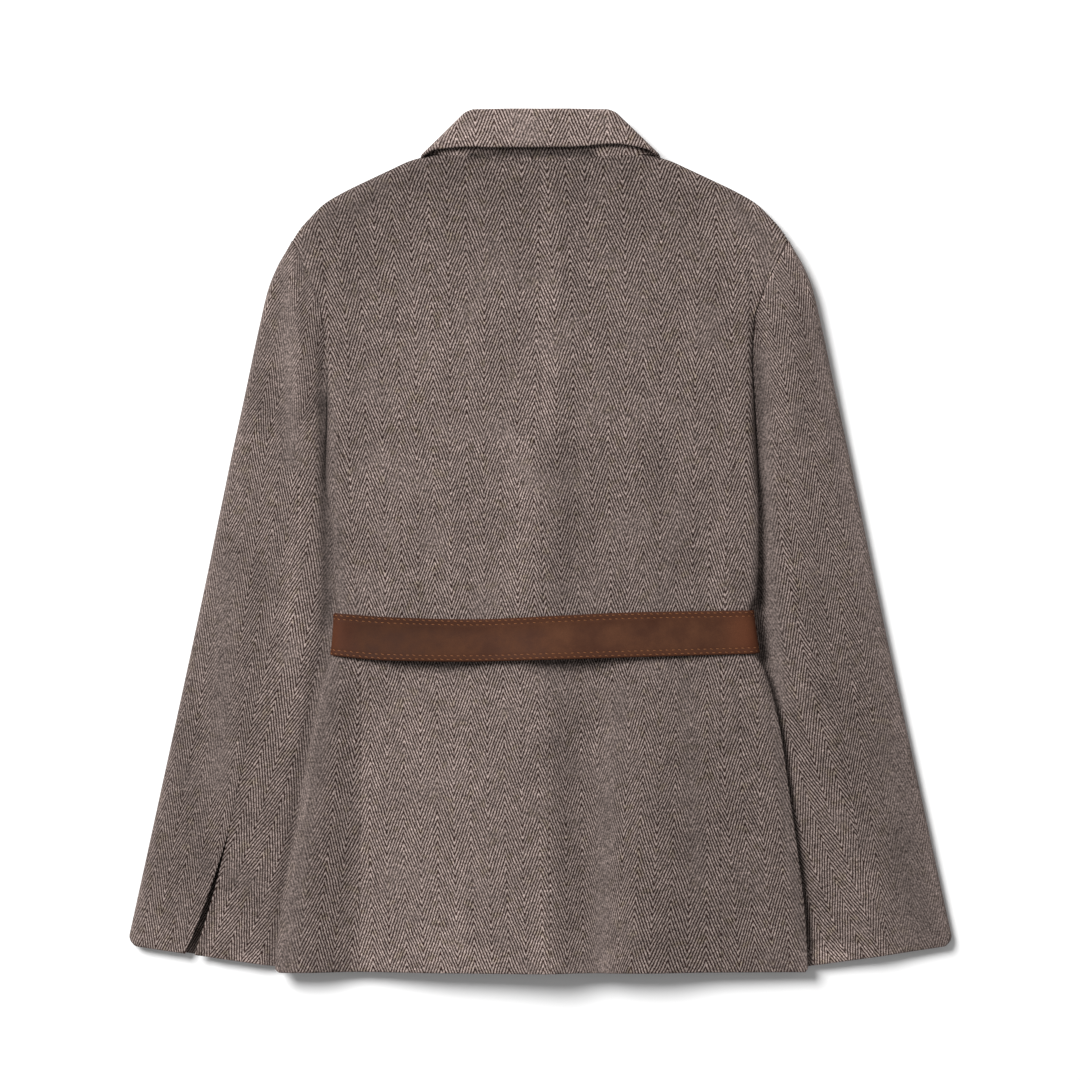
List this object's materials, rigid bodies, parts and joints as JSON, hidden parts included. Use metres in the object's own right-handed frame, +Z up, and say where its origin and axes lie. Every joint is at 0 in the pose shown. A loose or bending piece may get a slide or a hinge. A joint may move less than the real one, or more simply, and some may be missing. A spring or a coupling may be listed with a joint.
{
  "type": "belted blazer coat",
  "caption": "Herringbone wool blazer coat laid flat with its back up, with a turned collar, a leather half belt round the waist and an open vent at one cuff.",
  "frame": {"origin": "on the surface that the coat lies on, below the middle of its outline", "axes": "+X to the wearer's right, +Y from the hem toward the collar, +Z up out of the back"},
  "size_m": [0.7118, 0.7518, 0.0308],
  "materials": {
    "wool": "matt brushed herringbone",
    "suede": "matt, napped"
  },
  "bodies": {
    "root": {"back_left": "wool", "back_right": "wool", "side_left": "wool", "side_right": "wool", "front_left": "wool", "front_right": "wool", "lapel_left": "wool", "lapel_right": "wool", "topsleeve_left": "wool", "topsleeve_right": "wool", "undersleeve_left": "wool", "undersleeve_right": "wool", "collar": "wool", "belt": "suede"}
  },
  "joints": []
}
